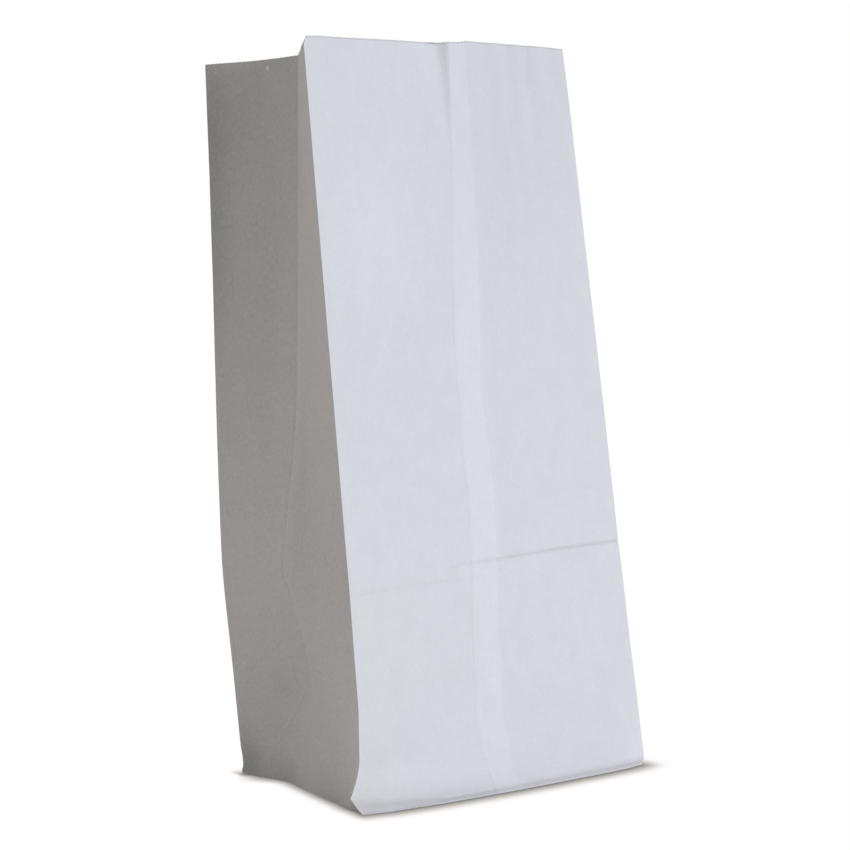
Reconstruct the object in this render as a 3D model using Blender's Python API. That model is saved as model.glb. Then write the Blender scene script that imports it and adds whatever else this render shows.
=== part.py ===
"""Stand-up paper grocery bag: a flat-bottomed, side-gusseted bag, opened and empty.

One sheet, folded into a tube and closed at the base, so it is one solid.  The shape is
worked out from the flat sizes of the sheet: every level of the paper becomes a closed ring
of two panels and two gussets, and the gusset's tuck sets the gap between the panels.

Metres, +Z up.  The origin is on the ground, under the middle of the base.  The panel with
the glued seam faces -Y.
"""
from math import cos, hypot, radians, sin, sqrt

import bmesh
import bpy

MM = 0.001

# Flat sizes of the folded sheet.
WIDTH = 160.3 * MM         # front and back panels
DEPTH = 106.4 * MM         # each gusset, two halves of DEPTH / 2
HEIGHT = 339.7 * MM        # base fold to cut edge
WALL = 0.5 * MM            # paper, with the thickness a solid needs

# How the tube stands.  Each station is a level of the paper with the place of the front-left
# fold, the turn of both panels about Z, the slant of the side and the tuck of the gusset.
HALF = DEPTH / 2           # the base triangles of the gussets end here
WAIST = DEPTH              # the crease that the folded base pressed into the tube
STATIONS = (
    # level, fold x, fold y, turn, slant, tuck
    (0.0, -WIDTH / 2, -DEPTH / 2, radians(0.0), radians(0.0), 0.0),
    (HALF, -82.5 * MM, -58.0 * MM, radians(3.8), radians(2.9), 10.5 * MM),
    (WAIST, -89.3 * MM, -64.0 * MM, radians(5.6), radians(2.7), 1.5 * MM),
    (HEIGHT, -101.3 * MM, -57.5 * MM, radians(9.8), radians(-1.9), 22.3 * MM),
)
TUCK_EASE = 1.6            # the gusset opens slowly from the mouth down, then quickly
TILT = 0.05                # rise of the paper's levels towards +X, because the tube leans
TILT_HEIGHT = 45.0 * MM    # the tilt grows from nothing over this height

# Base edge: the paper runs out and up from the ground line before it turns upright.
EDGE_UNDER = 0.8 * MM      # how far the ground line lies inside the base rectangle
EDGE_RISE = 2.0 * MM       # height of the turn
CORNER_UNDER = 3.5 * MM    # the same at the crushed front-left corner
CORNER_RISE = 10.0 * MM
CORNER_FLARE = 4.9 * MM    # the crushed corner sticks out to the left
CORNER_REACH = 38.0 * MM   # how far the crushed corner reaches along the front and the side
FLARE_HEIGHT = 22.0 * MM
SIDE_BOW = 4.5 * MM        # the base triangle pulls the side's ground line in
BELLY = 2.5 * MM           # the front panel swells beside the crushed corner
BELLY_PLACE = 38.0 * MM    # along the width
BELLY_REACH = 45.0 * MM
BELLY_LEVEL = 18.0 * MM    # fullest here
BELLY_TOP = 54.0 * MM      # gone here

# Seam strip and the dent in the front edge beside it, along the width from the left fold.
SEAM_TOP = 88.0 * MM
SEAM_FOOT = 77.0 * MM
SEAM_WIDTH = 13.0 * MM
SEAM_STEP = 0.2 * MM       # the second ply
STEP_RUN = 0.6 * MM
DENT_DEPTH = 3.5 * MM
DENT_LEFT_RUN = 12.0 * MM
DENT_RIGHT_RUN = 4.6 * MM
DENT_LENGTH = 67.0 * MM

# Mesh steps.
LEVELS_BELOW_HALF = (15.0 * MM, 27.0 * MM, 40.0 * MM)
WAIST_ROWS = 4             # rows from HALF to WAIST
TUBE_ROWS = 12             # rows from WAIST to the dent
DENT_ROWS = 5
FRONT_COLUMNS = (5, 6, 1, 2, 1, 5)   # in each zone of the front panel
BACK_COLUMNS = 12
GUSSET_COLUMNS = 8


def clear_scene():
    """Remove the start-up objects."""
    for thing in list(bpy.data.objects):
        bpy.data.objects.remove(thing, do_unlink=True)


def clamp(value):
    return min(1.0, max(0.0, value))


def mix(a, b, t):
    return a + (b - a) * t


def smooth(t):
    return t * t * (3.0 - 2.0 * t)


def arch(t):
    """0 at both ends and 1 in the middle."""
    return 4.0 * t * (1.0 - t)


def station_at(level):
    """Fold x, fold y, turn, slant and tuck of the tube at a level of the paper."""
    for low, high in zip(STATIONS, STATIONS[1:]):
        if level <= high[0]:
            break
    t = (level - low[0]) / (high[0] - low[0])
    fold_x, fold_y, turn, slant = (mix(a, b, t) for a, b in zip(low[1:5], high[1:5]))
    tuck_t = 1.0 - (1.0 - clamp(t)) ** TUCK_EASE if low[0] >= WAIST else t
    return fold_x, fold_y, turn, slant, mix(low[5], high[5], tuck_t)


def seam_left(level):
    """Width coordinate of the seam strip's left border."""
    return mix(SEAM_FOOT, SEAM_TOP, level / HEIGHT) - SEAM_WIDTH / 2


def dent_sizes(level):
    """Depth, left run and right run of the dent, which fades out down the panel."""
    ratio = clamp(1.0 - (HEIGHT - level) / DENT_LENGTH)
    return DENT_DEPTH * ratio, DENT_LEFT_RUN * ratio, DENT_RIGHT_RUN * ratio


def dent_take(level):
    """Width of paper that the dent takes out of the front panel."""
    depth, left_run, right_run = dent_sizes(level)
    return hypot(left_run, depth) - left_run + hypot(right_run, depth) - right_run


def panel_profile(width, level):
    """Along-panel place and inward depth of a point of the front panel."""
    depth, left_run, right_run = dent_sizes(level)
    left_paper = hypot(left_run, depth)
    right_paper = hypot(right_run, depth)
    right_end = seam_left(level)
    valley = right_end - right_paper
    left_end = valley - left_paper
    if depth == 0.0 or width <= left_end:
        return width, 0.0
    if width <= valley:
        t = (width - left_end) / left_paper
        return left_end + t * left_run, t * depth
    if width <= right_end:
        t = (width - valley) / right_paper
        return left_end + left_run + t * right_run, (1.0 - t) * depth
    return width - dent_take(level), 0.0


def seam_lift(width, level):
    """How far the seam strip stands out from the panel."""
    left = seam_left(level)
    inside = min(width - left, left + SEAM_WIDTH - width)
    return SEAM_STEP * clamp(inside / STEP_RUN)


class Ring:
    """The folds of the tube at one level of the paper, seen from above."""

    def __init__(self, level):
        self.level = level
        fold_x, fold_y, turn, slant, self.tuck_left = station_at(level)
        if level < HALF:
            self.tuck_left = STATIONS[1][5]
        self.along = (cos(turn), sin(turn))
        self.inward = (-sin(turn), cos(turn))
        gap = 2.0 * sqrt((DEPTH / 2) ** 2 - self.tuck_left ** 2)
        if level < HALF:
            gap = mix(DEPTH, gap, level / HALF)
        chord = WIDTH - dent_take(level)
        self.front_left = (fold_x, fold_y)
        self.back_left = (fold_x - gap * sin(slant), fold_y + gap * cos(slant))
        self.front_right = self.slide(self.front_left, chord)
        self.back_right = self.slide(self.back_left, WIDTH)

    def slide(self, start, distance):
        return (start[0] + distance * self.along[0], start[1] + distance * self.along[1])

    def front(self, width):
        place, depth = panel_profile(width, self.level)
        depth -= seam_lift(width, self.level)
        x, y = self.slide(self.front_left, place)
        return x + depth * self.inward[0], y + depth * self.inward[1]

    def back(self, width):
        return self.slide(self.back_left, width)

    def gusset(self, start, end, share, inside):
        """Point on a gusset, by its share of the way from fold to fold."""
        span_x = end[0] - start[0]
        span_y = end[1] - start[1]
        gap = hypot(span_x, span_y)
        tuck = sqrt(max(0.0, (DEPTH / 2) ** 2 - (gap / 2) ** 2))
        if self.level < HALF:
            tuck = self.tuck_left
        share_in = min(2.0 * min(share, 1.0 - share), self.level / HALF)
        push = inside * share_in * tuck
        return (start[0] + share * span_x + push * span_y / gap,
                start[1] + share * span_y - push * span_x / gap)

    def left(self, share):
        """Left gusset, from the back fold to the front fold."""
        return self.gusset(self.front_left, self.back_left, 1.0 - share, 1.0)

    def right(self, share):
        """Right gusset, from the front fold to the back fold."""
        return self.gusset(self.front_right, self.back_right, share, -1.0)


def front_borders(level):
    """Widths at which the front panel's zones meet: plain, dent, seam step, seam, step, plain."""
    left = seam_left(level)
    dent_paper = hypot(DENT_LEFT_RUN, DENT_DEPTH) + hypot(DENT_RIGHT_RUN, DENT_DEPTH)
    return (0.0, left - dent_paper, left, left + STEP_RUN,
            left + SEAM_WIDTH - STEP_RUN, left + SEAM_WIDTH, WIDTH)


def front_width(zone_place, level):
    """Width of a front column, from its zone and its share of the zone."""
    borders = front_borders(level)
    zone = min(int(zone_place), len(borders) - 2)
    return mix(borders[zone], borders[zone + 1], zone_place - zone)


def columns():
    """Places round the tube: (face, coordinate), anticlockwise from the front-left fold."""
    places = []
    for zone, count in enumerate(FRONT_COLUMNS):
        places += [("front", zone + i / count) for i in range(count)]
    places += [("right", i / GUSSET_COLUMNS) for i in range(GUSSET_COLUMNS)]
    places += [("back", WIDTH * (1 - i / BACK_COLUMNS)) for i in range(BACK_COLUMNS)]
    places += [("left", i / GUSSET_COLUMNS) for i in range(GUSSET_COLUMNS)]
    return places


def corner_share(place, level):
    """1 at the crushed front-left corner, falling to 0 along the front and the side."""
    face, value = place
    if face == "front":
        return clamp(1.0 - front_width(value, level) / CORNER_REACH)
    if face == "left":
        return clamp(1.0 - (1.0 - value) * DEPTH / CORNER_REACH)
    return 0.0


def place_xy(ring, place):
    face, value = place
    if face == "front":
        return ring.front(front_width(value, ring.level))
    if face == "right":
        return ring.right(value)
    if face == "back":
        return ring.back(value)
    return ring.left(value)


def bow(place, level):
    """Inward pull of the gussets' ground lines, gone at HALF."""
    face, value = place
    if face not in ("left", "right"):
        return 0.0
    pull = SIDE_BOW * arch(value) * clamp(1.0 - level / HALF)
    return pull if face == "left" else -pull


def belly(place, level):
    """Outward swell of the front panel, beside the crushed corner."""
    face, value = place
    if face != "front":
        return 0.0
    across = clamp(1.0 - abs(front_width(value, level) - BELLY_PLACE) / BELLY_REACH)
    up = min(level / BELLY_LEVEL, clamp((BELLY_TOP - level) / (BELLY_TOP - BELLY_LEVEL)))
    return BELLY * smooth(across) * smooth(up)


def base_turn(crush):
    """Inset of the ground line, height of the turn, and the paper between the two."""
    under = mix(EDGE_UNDER, CORNER_UNDER, crush)
    rise = mix(EDGE_RISE, CORNER_RISE, crush)
    return under, rise, hypot(under, rise)


def surface_point(place, level):
    """A point of the outer surface, for a column and a level of the paper."""
    crush = corner_share(place, level)
    under, rise, turn_level = base_turn(crush)
    x, y = place_xy(Ring(level), place)
    x += bow(place, level)
    y -= belly(place, level)
    if level < turn_level:
        t = level / turn_level
        inset = under * (1.0 - t)
        x *= 1.0 - inset / (WIDTH / 2)
        y *= 1.0 - inset / (DEPTH / 2)
        z = rise * t
    else:
        z = level - turn_level + rise
    flare = clamp((FLARE_HEIGHT - level) / (FLARE_HEIGHT - turn_level))
    x -= CORNER_FLARE * crush * min(flare, level / turn_level)
    z += TILT * x * clamp(level / TILT_HEIGHT)
    return x, y, z


def levels():
    """Levels of the rows of points; None is the base turn, whose level varies round the tube."""
    rows = [0.0, None, *LEVELS_BELOW_HALF]
    rows += [mix(HALF, WAIST, i / WAIST_ROWS) for i in range(WAIST_ROWS)]
    dent_start = HEIGHT - DENT_LENGTH
    rows += [mix(WAIST, dent_start, i / TUBE_ROWS) for i in range(TUBE_ROWS)]
    rows += [mix(dent_start, HEIGHT, i / DENT_ROWS) for i in range(DENT_ROWS + 1)]
    return rows


def build_sheet(name):
    """The bag's outer surface: rings of faces up the tube and one flat base."""
    places = columns()
    bm = bmesh.new()
    rows = []
    for level in levels():
        row = []
        for place in places:
            here = base_turn(corner_share(place, 0.0))[2] if level is None else level
            row.append(bm.verts.new(surface_point(place, here)))
        rows.append(row)
    for low, high in zip(rows, rows[1:]):
        for i in range(len(places)):
            j = (i + 1) % len(places)
            bm.faces.new((low[i], low[j], high[j], high[i]))
    bm.faces.new(list(reversed(rows[0])))
    mesh = bpy.data.meshes.new(name)
    bm.to_mesh(mesh)
    bm.free()
    bag = bpy.data.objects.new(name, mesh)
    bpy.context.collection.objects.link(bag)
    return bag


def paper_material():
    """Plain white kraft paper."""
    paper = bpy.data.materials.new("white_paper")
    paper.use_nodes = True
    shader = paper.node_tree.nodes["Principled BSDF"]
    shader.inputs["Base Color"].default_value = (0.80, 0.80, 0.82, 1.0)
    shader.inputs["Roughness"].default_value = 0.75
    shader.inputs["Metallic"].default_value = 0.0
    return paper


def add_thickness(bag):
    """Turn the sheet into a closed wall, inwards from the outer surface."""
    solid = bag.modifiers.new("Wall", "SOLIDIFY")
    solid.thickness = WALL
    solid.offset = -1.0
    solid.use_even_offset = True


def main():
    clear_scene()
    bag = build_sheet("bag")
    bag.data.materials.append(paper_material())
    add_thickness(bag)


main()
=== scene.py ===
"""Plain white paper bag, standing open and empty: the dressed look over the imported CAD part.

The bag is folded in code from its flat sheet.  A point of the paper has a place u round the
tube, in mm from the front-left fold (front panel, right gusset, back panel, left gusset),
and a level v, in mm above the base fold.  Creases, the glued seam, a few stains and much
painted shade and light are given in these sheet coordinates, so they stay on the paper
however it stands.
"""

import bmesh
import bpy
import numpy as np
from mathutils import Matrix, Vector, noise


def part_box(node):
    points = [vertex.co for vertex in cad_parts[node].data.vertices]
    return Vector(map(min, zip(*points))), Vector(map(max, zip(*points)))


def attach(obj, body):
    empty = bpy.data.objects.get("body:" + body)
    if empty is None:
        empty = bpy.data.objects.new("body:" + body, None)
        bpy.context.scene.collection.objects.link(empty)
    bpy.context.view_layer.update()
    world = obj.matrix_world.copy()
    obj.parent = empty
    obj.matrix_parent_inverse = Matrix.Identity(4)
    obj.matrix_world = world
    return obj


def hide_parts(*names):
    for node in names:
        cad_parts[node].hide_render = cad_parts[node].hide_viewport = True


MM = 0.001
TINY, SMALL = 1e-6, 1e-3                  # keep a division sound
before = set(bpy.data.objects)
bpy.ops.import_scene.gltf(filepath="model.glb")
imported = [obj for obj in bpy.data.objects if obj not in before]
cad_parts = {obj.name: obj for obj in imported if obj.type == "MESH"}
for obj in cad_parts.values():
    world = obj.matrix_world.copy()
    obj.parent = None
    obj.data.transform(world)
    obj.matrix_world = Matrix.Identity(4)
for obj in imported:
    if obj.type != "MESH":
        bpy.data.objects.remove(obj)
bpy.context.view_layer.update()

# ------------------------------------------------------------------ the sheet, in mm
WIDTH, DEPTH, HEIGHT = 160.3, 106.4, 339.7
HALF, WAIST = DEPTH / 2, DEPTH            # top of the base triangles; crease of the folded base
BACK_START = WIDTH + DEPTH                # u at the back panel's right fold
LEFT_START = 2 * WIDTH + DEPTH            # u at the left gusset's back fold
GIRTH = 2 * WIDTH + 2 * DEPTH
PAPER = 0.16                              # thickness of one ply, as drawn

# How the tube stands, by level: place of the front-left fold, turn and slant in degrees.
STATIONS = (0.0, HALF, WAIST, HEIGHT)
FOLD_X = (-WIDTH / 2, -82.5, -89.3, -101.3)
FOLD_Y = (-DEPTH / 2, -58.0, -64.0, -57.5)
TURN = (0.0, 3.8, 5.6, 9.8)
SLANT = (0.0, 2.9, 2.7, -2.15)
BASE_TUCK = 10.5                          # how far the gussets' middle folds are tucked in
SOFT = 3.5                                # how sharply the triangles above the base are folded
TUCK_LEVELS = (HALF, 70, 85, 97, 106, 115, 130, 150, 190, 240, 290, HEIGHT)
TUCKS = (BASE_TUCK, 8.4, 5.5, 2.5, 1.3, 1.8, 4.2, 7.2, 12.1, 16.9, 20.2, 22.3)
TUCK_BLUR = (-4.0, -2.0, 0.0, 2.0, 4.0)   # the tuck is the mean over these levels
# The left gusset's middle fold wanders: level, how far towards the front fold.
FOLD_LEVELS = (40, 53, 62, 72, 86, 96, 103, 109, 123, 140, 154, 172, 203, 238, 296, HEIGHT)
FOLD_SHIFTS = (0, 2.8, 2.0, 1.0, 1.1, 0.1, -0.7, -2.8, -1.9, -0.6, 0.6, 2.2, 1.6, -0.2, -1.0, 1.5)
TILT, TILT_HEIGHT = 0.05, 45.0            # rise for each mm of x, full above this level
FRONT_UNDER, FRONT_RISE = 1.1, 2.6        # the base edge turns under below its fold line
BACK_UNDER, BACK_RISE, SIDE_UNDER = 0.8, 2.2, 0.1
UNDER_FACE = 0.8                          # share of the turn that slants; the rest is upright
CORNER_UNDER, CORNER_RISE, CORNER_FLARE = 3.5, 10.0, 4.9
CORNER_REACH, SIDE_REACH, FLARE_HEIGHT = 42.0, 16.0, 29.0
CORNER_ROUND, CORNER_SPREAD = 1.6, 3.0    # how round its turn is, and how soon beside it
FLARE_CURVE, FLARE_NARROW = 1.7, 1.5      # how the flare fades upwards and sideways
SIDE_START = 6.0                          # the side's own turn begins within this
CORNER_X, CORNER_Y = 0.70, 0.50           # parts of its turn along x and y
FOOT, FOOT_REACH, FOOT_HEIGHT, FOOT_LIFT = 2.3, 6.0, 4.0, 0.7  # the back-left corner's foot
FOOT_CURVE = 1.5
FRONT_LIFT, SIDE_LIFT, PLY_STEP = 0.2, 0.1, 29.0  # parts of the base edge just off the ground
LIFT_START, LIFT_RUN, PLY_RUN, LIFT_TOP = 4.0, 25.0, 1.5, 12.0
# The base edge bows, gussets inwards and panels outwards: share of the edge, mm at the ground.
RIGHT_BOW = ((0.0, 0.25, 0.5, 0.75, 1.0), (0.0, 5.0, 7.0, 5.0, 0.0))
LEFT_BOW = ((0.0, 0.03, 0.10, 0.15, 0.20, 0.24, 0.28, 0.38, 0.48, 0.58, 0.68, 0.77, 0.87, 1.0),
            (0.0, 1.3, 3.4, 5.2, 6.9, 7.9, 8.4, 7.2, 6.2, 5.3, 4.5, 3.8, 2.4, 0.0))
FRONT_BOW = ((0.0, 0.03, 0.075, 0.125, 0.20, 0.40, 0.52, 0.62, 0.74, 0.84, 0.94, 1.0),
             (0.0, 1.3, 3.0, 3.8, 4.5, 5.0, 5.1, 4.8, 4.0, 3.6, 2.4, 0.0))
BACK_BOW = ((0.0, 0.25, 0.5, 0.75, 1.0), (0.0, 2.6, 3.4, 2.6, 0.0))
# The cut edge stands a little higher or lower than HEIGHT: u, rise.
RIM_RISES = ((0, 8, 22, 44, 66, 78, 90, 97, 112, 134, 150, WIDTH, WIDTH + 53, BACK_START,
              LEFT_START - 5, LEFT_START, LEFT_START + 9, LEFT_START + 19, LEFT_START + 28,
              LEFT_START + 40, LEFT_START + 53, LEFT_START + 80, LEFT_START + 97, GIRTH),
             (1.1, 1.35, 1.05, 0.9, 1.0, 1.35, 1.5, 2.3, 2.0, 1.6, 1.35, 0.8, -0.9, 0.0,
              0.9, 1.05, 0.5, -0.05, -0.55, -0.9, -1.15, -2.0, -0.4, 1.1))
RIM_REACH = 110.0                         # how far down the rise fades out
TIP, TIP_HEIGHT = 1.4, 3.2                # the front-left corner of the cut edge bends inwards
TIP_FRONT, TIP_SIDE = 8.0, 20.0           # its reach along the front and the gusset
GUSSET_HOLLOW, HOLLOW_LEVEL = 1.4, 170.0  # a gusset's back half is slightly hollow above this
HOLLOW_RUN = 120.0
FRONT_FADE, FADE_CURVE = 40.0, 1.3        # the front's and back's bow fades out by this level
BELLY, BELLY_PLACE, BELLY_REACH = 2.2, 34.0, 45.0  # the bulge at the lower left of the front
BELLY_LEVEL, BELLY_TOP = 9.0, 50.0
DENT_DEPTH, DENT_LENGTH = 2.2, 67.0       # at the cut edge, and how far down it runs
DENT_LEFT_RUN, DENT_RIGHT_RUN = 22.0, 8.0
DENT_DEPTH_CURVE, DENT_RIGHT_CURVE = 2.7, 1.1  # how its depth and right run shrink downwards
DENT_CURVE = 1.7                          # the left flank steepens towards the valley
DENT_ROUND = 1.6                          # the right flank is round
DENT_PAINTED_SHADE = ((-0.15, 0.15, 0.55, 1.1), (0.0, 0.055, 0.035, 0.0))  # painted shade on the dent's flank: share of the flank, tone
DENT_DROP = 0.35                          # the cut edge sags at the dent
FOLD_BAND = 2.0                           # half-width of the crease along a gusset's fold
FADE = 0.25                               # the dent's grid columns keep this share below it

# Borders of the glued double strip: level, left u, right u.
SEAM_LEVELS = (0, 10, 21, 50, 79, 105, 118, 135, 158, 180, 207, 247, 274, HEIGHT)
SEAM_LEFT = (70.0, 67.4, 64.4, 64.0, 65.8, 68.4, 69.3, 70.3, 69.4, 70.0, 70.4, 75.0, 77.9, 84.9)
SEAM_RIGHT = (83.8, 80.6, 79.4, 78.8, 80.9, 82.9, 84.3, 85.7, 85.2, 83.7, 86.3, 90.2, 91.7, 95.0)

# The two creases near WAIST that the folded base pressed into the tube: u, level.
LOWER_CREASE = ((0, 103.5), (16, 102.8), (49, 101.9), (66.6, 100.3), (90, 100.3),
                (WIDTH, 101.3), (GIRTH, 103.5))
UPPER_CREASE = ((0, 107.8), (50, 107.4), (68, 107.8), (83.5, 107.3), (122, 106.7),
                (WIDTH, 105.4), (BACK_START, WAIST), (LEFT_START, WAIST),
                (LEFT_START + 50, 107.0), (GIRTH, 107.8))
CREASE_FADE = 22.0                        # the tube's bend follows the upper crease this near it
CREASE_REACH, CREASE_CURVE = 1.6, 1.5     # half-width, and how sharp its painted shade is
LOWER_DEPTH = ((0, 12, 49, 66, 76, 90), (0.05, 0.10, 0.12, 0.14, 0.0, 0.0))     # u, depth
LOWER_DARK = ((0, 49, 66, 76), (0.05, 0.045, 0.03, 0.0))                         # u, painted shade in the lower crease
# Painted shade in the upper crease: u, tone.
UPPER_DARK = ((50, 66, 84, 120, WIDTH, WIDTH + 3, LEFT_START - 1, LEFT_START),
              (0.0, 0.05, 0.11, 0.16, 0.17, 0.04, 0.04, 0.0))
# Painted shade along the left gusset's middle fold: level, tone; FOLD_CURVE sharpens it.
FOLD_DARK = ((54, 60, 95, 100, 107, 112, 175, 215), (0.0, 0.04, 0.05, 0.16, 0.15, 0.08, 0.08, 0.0))
FOLD_CURVE = 3
# Painted shade just under the cut edge over the dent, and the height it reaches down.
LIP_PAINTED_SHADE, LIP_BAND = 0.6, 1.0
# Painted shade along the front's base edge where it turns under; under 0 it is painted light.
BASE_DARK = ((0, 22, 32, 45, 60, 85, 120, WIDTH),
             (-0.15, -0.11, -0.06, -0.03, 0.05, 0.10, 0.12, 0.17))                # u, tone
BASE_BAND, BASE_FADE = 4.0, 1.6           # height above the ground of the base edge's painted shade, and its fade
# A softer band of painted shade from the ground up: u, tone.  In all the dark tables, under 0 is
# painted light.
LOW_DARK = ((0, 20, 45, 60, 85, 110, 145), (-0.10, 0.0, 0.10, 0.08, 0.04, 0.02, 0.0))
LOW_BAND = 14.5
SHADE_LIGHT_AND_GRIME_PATCHES = (                                # soft patches, mostly painted shade (darker) and painted light (lighter), a few grubby:
    # u, level, reach, height, how much darker (under 0 lighter)
    (LEFT_START + 3.0, 6.0, 13.0, 32.0, 0.24),
    (LEFT_START + 26.0, 20.0, 20.0, 11.0, -0.05),
    (LEFT_START + 30.0, 2.0, 24.0, 14.0, 0.03),
    (LEFT_START + 34.0, 7.0, 5.0, 9.0, 0.08),
    (LEFT_START + 34.0, 52.0, 15.0, 10.0, 0.06),
    (GIRTH - 27.0, 0.0, 32.0, 14.0, 0.13),
    (GIRTH - 30.0, 200.0, 28.0, 170.0, 0.02),
    (GIRTH - 6.0, 10.0, 18.0, 18.0, 0.06),
    (LEFT_START + 8.0, 312.0, 34.0, 34.0, 0.08),
    (LEFT_START + 14.0, HEIGHT, 26.0, 7.0, -0.12),
    (LEFT_START - 2.0, 275.0, 20.0, 100.0, 0.18),
    (LEFT_START + 48.0, 215.0, 15.0, 140.0, -0.06),
    (LEFT_START + 24.0, 190.0, 30.0, 100.0, -0.02),
    (LEFT_START + 66.0, 140.0, 18.0, 60.0, 0.07),
    (WIDTH, 330.0, 46.0, 90.0, 0.02),
    (115.0, 300.0, 60.0, 110.0, 0.035),
    (30.0, 255.0, 45.0, 55.0, -0.04),
    (14.0, 18.0, 38.0, 12.0, -0.07),
    (134.0, 330.0, 12.0, 22.0, 0.03),
)
UPPER_DEPTH = ((40, 62, 84, 120, 150, WIDTH, 165, LEFT_START - 10, LEFT_START, LEFT_START + 45,
                LEFT_START + 55),
               (0.0, 0.08, 0.20, 0.30, 0.36, 0.36, 0.05, 0.05, 0.12, 0.12, 0.0))

# Soft upright wrinkles of the front near its cut edge: u, half-width, depth, lowest level.
WRINKLES = ((108.0, 7.0, 0.30, 255.0), (121.0, 6.0, 0.40, 270.0), (134.0, 6.0, 0.35, 265.0),
            (149.0, 7.0, 0.25, 285.0), (60.0, 9.0, 0.30, 290.0), (97.0, 6.0, -0.15, 240.0))

# The paper's unevenness: height, scale along each axis, seed.
UNEVENNESS = ((0.12, (42.0, 42.0, 90.0), 3.1), (0.03, (9.0, 9.0, 26.0), 7.7))
STRIP_STEP, STRIP_EDGE = 0.07, 0.6        # height and border of the double strip
# A shallow valley just right of the strip, above a level.
VALLEY, VALLEY_PLACE, VALLEY_REACH, VALLEY_LEVEL, VALLEY_RUN = 0.35, 1.0, 22.0, 60.0, 60.0
DIMPLE, DIMPLE_PLACE, DIMPLE_LEVEL, DIMPLE_REACH = 0.9, 5.0, 9.0, 9.0  # at the back-left corner

# Cut edge: teeth, and the lip that turns out over the dent.
TOOTH_PITCH, TOOTH_HEIGHT, RIM_BAND = 2.2, 0.28, 1.3
TOOTH_MARGIN = 0.05                       # no tooth point is nearer than this to a column
LIP, LIP_PLACE, LIP_REACH = 0.5, 76.0, 6.0

# Base: the folded flaps, seen from inside and from below.
FLOOR_LIFT = 0.62                         # the tube's floor lies on the outer flaps
FLAP_INSET = 1.5
FLAP_GAP = 0.04
FLAP_LAP = 9.0                            # how far the long flaps pass the middle
FLAP_STEPS = 17                           # points along a flap's bowed side

MARK_CURVE = 1.6                          # how sharp a fold mark is in its middle
# Fold marks on the surface: height in mm (under 0 a groove), tone, half-width,
# and points u, v, strength.  The tones paint shade (under 0) and light (over 0) along the
# marks; the last side mark is a white fleck.
FRONT_MARKS = (
    (-0.07, -0.02, 1.1, ((117.9, 334.0, 0.4), (118.6, 315.0, 1.0), (119.5, 294.0, 0.0))),
    (-0.12, -0.03, 0.9, ((136.5, HEIGHT, 1.0), (132.9, 318.0, 0.0))),
)
SIDE_MARKS = (
    (0.26, 0.05, 1.3, ((50.5, 51.5, 1.0), (30.0, 29.0, 0.7), (14.6, 11.2, 0.4))),
    (-0.18, -0.09, 0.9, ((43.6, 69.5, 0.2), (44.2, 61.0, 1.0), (45.4, 52.5, 0.4))),
    (-0.10, -0.02, 0.9, ((50.5, 51.2, 1.0), (68.3, 44.1, 0.2))),
    (-0.08, -0.02, 0.9, ((54.6, 47.5, 0.8), (59.0, 26.7, 0.2))),
    (-0.12, -0.05, 0.8, ((1.0, 50.8, 1.0), (21.3, 52.7, 0.5))),
    (-0.10, -0.03, 0.8, ((19.8, 55.0, 1.0), (23.4, 45.5, 0.3))),
    (-0.10, -0.03, 0.8, ((2.1, 106.4, 1.0), (50.1, 107.0, 0.4))),
    (0.04, 0.95, 1.0, ((35.3, 336.0, 1.0), (35.6, 334.8, 0.9))),
)

# Paper.
UV_SCALE = 0.01                           # UV units for one mm of the sheet
FLOOR_U = 900.0                           # the base flaps' place on the sheet's map
FOLD_ANGLE = 22.0                         # sharper bends than this are folds, in degrees
PAPER_COLOUR = (0.80, 0.80, 0.82)
STRIP_GAIN = 0.035                        # the double strip is lighter
STRIP_BLUR = 0.5                          # half-width of its soft border, in mm
# Noise: scale in mm along u and v, detail, roughness.
CLOUD, STREAK = ((9.0, 16.0), 4.0, 0.6), ((0.8, 9.0), 3.0, 0.55)
FIBRE, GRAIN = ((0.35, 1.6), 2.0, 0.6), ((0.22, 0.3), 1.0, 0.5)
MOTTLE = ((1.6, 2.2), 3.0, 0.75)
# Heights in mm and tones of the noises.
STREAK_HEIGHT, FIBRE_HEIGHT, GRAIN_HEIGHT = 0.020, 0.012, 0.004
CLOUD_HEIGHT, STRIP_HEIGHT = 0.060, 0.05
PLAIN_TONE, CLOUD_TONE, STREAK_TONE, FIBRE_TONE = 0.915, 0.09, 0.04, 0.045
# Rare dark flecks: scale of their pattern, radii within it, tone.
FLECK_SCALE, FLECK_INNER, FLECK_OUTER, FLECK_TONE = 0.045, 0.008, 0.016, -0.10
ROUGHNESS, CLOUD_ROUGHNESS, SPECULAR = 0.70, 0.14, 0.3
FRONT_GRAIN, SIDE_GRAIN, PLAIN_GRAIN = 0.12, 0.40, 0.20  # how much the fine mottle varies

# Studio, in metres: lights are name, place, target, size, power, colour.
TABLE_RADIUS, BOUNCE_RADIUS, SURROUND_RADIUS = 2.4, 0.55, 12.0
TABLE_GAP = 0.0002
DISC_SIDES, DOME_STEPS = 96, 5
STAGE_ROUGHNESS, STAGE_SPECULAR = 0.9, 0.2
CONTACT_SHADE = (                         # painted contact shadow: mm from the bag's foot, and the table's tone there
    (0.0, (130, 126, 125)), (1.3, (158, 154, 152)), (2.6, (175, 171, 169)),
    (4.0, (190, 186, 184)), (5.5, (206, 202, 200)), (7.0, (220, 217, 215)),
    (8.2, (231, 228, 226)), (10.0, (243, 241, 240)), (11.5, (250, 248, 248)),
    (13.7, (253, 252, 252)), (16.0, (255, 255, 255)),
)
SIDE_NARROW = ((13.0, 28.0, 38.0, 44.0, 49.0, 54.0),  # the painted shadow is narrower on the left: y, by how much
               (0.75, 0.4, 0.0, 0.2, 1.5, 3.5))
CONTACT_STEP, FOOT_POINTS = 2.0, 240      # grid step in mm; points of the foot's outline
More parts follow.
